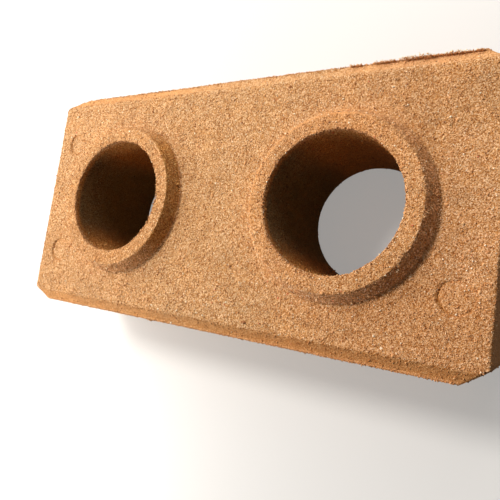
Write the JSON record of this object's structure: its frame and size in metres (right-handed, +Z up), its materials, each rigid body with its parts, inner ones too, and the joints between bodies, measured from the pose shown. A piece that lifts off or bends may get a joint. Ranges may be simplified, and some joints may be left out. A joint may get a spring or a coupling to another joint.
{
  "type": "interlocking soil-cement brick",
  "caption": "Pressed soil-cement brick with bevelled long edges, cut corners, and through bores ringed by conical collars that drop into sockets in the brick above.",
  "frame": {"origin": "centre of the bed face, on the plane that the brick stands on", "axes": "+X along the brick through both bores, +Y across it, +Z up, the way the collars point"},
  "size_m": [0.25, 0.125, 0.07],
  "materials": {
    "soil_cement": "matte, sandy and granular, unfired"
  },
  "bodies": {
    "root": {"brick": "soil_cement"}
  },
  "joints": []
}
